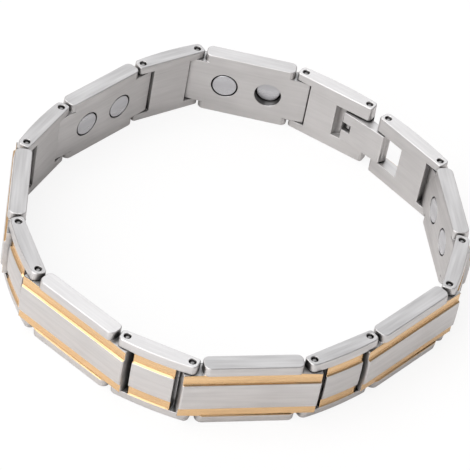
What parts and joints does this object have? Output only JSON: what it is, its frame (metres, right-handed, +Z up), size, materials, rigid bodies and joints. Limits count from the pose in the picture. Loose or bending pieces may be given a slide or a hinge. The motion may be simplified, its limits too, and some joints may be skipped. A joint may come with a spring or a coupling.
{
  "type": "magnetic link bracelet",
  "caption": "Closed two-tone steel link bracelet lying on its edge, with round magnets set in its inner faces and a fold-over clasp lever.",
  "frame": {"origin": "On the surface that the bracelet lies on, under the middle of the loop's bounding box", "axes": "+Z up, across the band from edge to edge; X and Y lie in the plane of the loop, and the clasp is at +X +Y"},
  "size_m": [0.0726, 0.074, 0.0113],
  "materials": {
    "steel": "satin, brushed lengthwise",
    "gold": "bright gold plating on the floors and sides of the stripes",
    "pin": "turned, slightly darker than the links",
    "magnet": "ground grey face"
  },
  "bodies": {
    "band": {"long_link_1": "steel", "long_link_2": "steel", "long_link_3": "steel", "long_link_4": "steel", "long_link_5": "steel", "long_link_6": "steel", "long_link_7": "steel", "short_link_1": "steel", "short_link_2": "steel", "short_link_3": "steel", "short_link_4": "steel", "short_link_5": "steel", "short_link_6": "steel", "hinge_link": "steel", "catch_link": "steel", "lever_pin": "pin", "catch_pin": "pin", "link_pin_1": "pin", "link_pin_2": "pin", "link_pin_3": "pin", "link_pin_4": "pin", "link_pin_5": "pin", "link_pin_6": "pin", "link_pin_7": "pin", "link_pin_8": "pin", "link_pin_9": "pin", "link_pin_10": "pin", "link_pin_11": "pin", "link_pin_12": "pin", "link_pin_13": "pin", "link_pin_14": "pin", "magnet_1": "magnet", "magnet_2": "magnet", "magnet_3": "magnet", "magnet_4": "magnet", "magnet_5": "magnet", "magnet_6": "magnet", "magnet_7": "magnet", "magnet_8": "magnet", "magnet_9": "magnet", "magnet_10": "magnet", "magnet_11": "magnet", "magnet_12": "magnet", "magnet_13": "magnet", "magnet_14": "magnet"},
    "lever": {"clasp_lever": "steel"}
  },
  "joints": [
    {"name": "clasp_lever_hinge", "type": "hinge", "parent": "band", "child": "lever", "pos_m": [0.02024, 0.02725, 0.00565], "axis": [0, 0, 1], "range_deg": [0, 110]}
  ]
}
